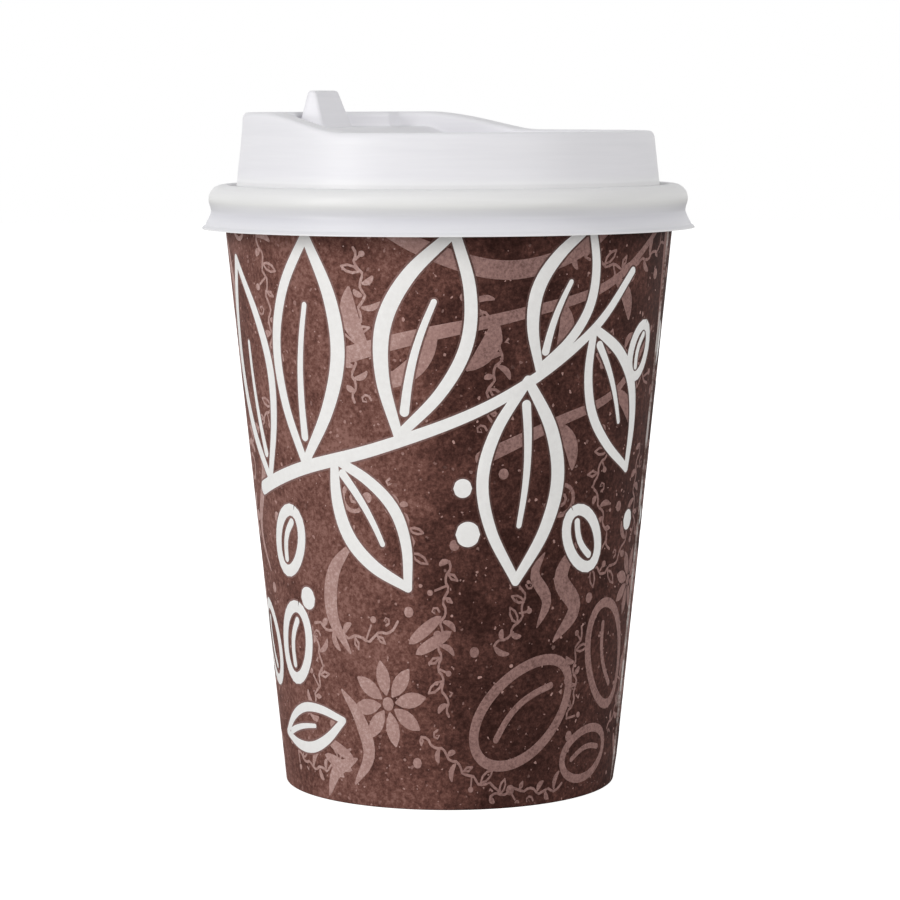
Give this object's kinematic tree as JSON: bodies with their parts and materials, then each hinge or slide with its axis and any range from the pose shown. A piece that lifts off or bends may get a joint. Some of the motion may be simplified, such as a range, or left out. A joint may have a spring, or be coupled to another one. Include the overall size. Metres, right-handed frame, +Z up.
{
  "type": "takeaway coffee cup with travel lid",
  "caption": "Tapered printed paperboard cup with a lap seam and rolled rim, closed by a pressed-on plastic travel lid with a stepped rim and a hinged finger-fin flap.",
  "frame": {"origin": "middle of the cup's foot ring on the table, on the cup's axis", "axes": "+Z up along the cup's axis; -Y towards the viewer of the picture; +X to that viewer's right; the lap seam lies 14 degrees from +X towards -Y, and the lid's drinking side 151 degrees from +X towards +Y"},
  "size_m": [0.0936, 0.0936, 0.1321],
  "materials": {
    "printed_board": "matt",
    "plain_board": "matt",
    "lid_plastic": "satin"
  },
  "bodies": {
    "cup": {"sidewall": "printed_board", "base_disc": "plain_board"},
    "lid": {"lid": "lid_plastic"},
    "flap": {"lid_flap": "lid_plastic"}
  },
  "joints": [
    {"name": "lid_lift", "type": "slide", "parent": "cup", "child": "lid", "axis": [0, 0, 1], "range_m": [0, 0.03]},
    {"name": "flap_hinge", "type": "hinge", "parent": "lid", "child": "flap", "pos_m": [-0.01796, 0.00996, 0.125], "axis": [0.4848, 0.8746, 0], "range_deg": [0, 145]}
  ]
}
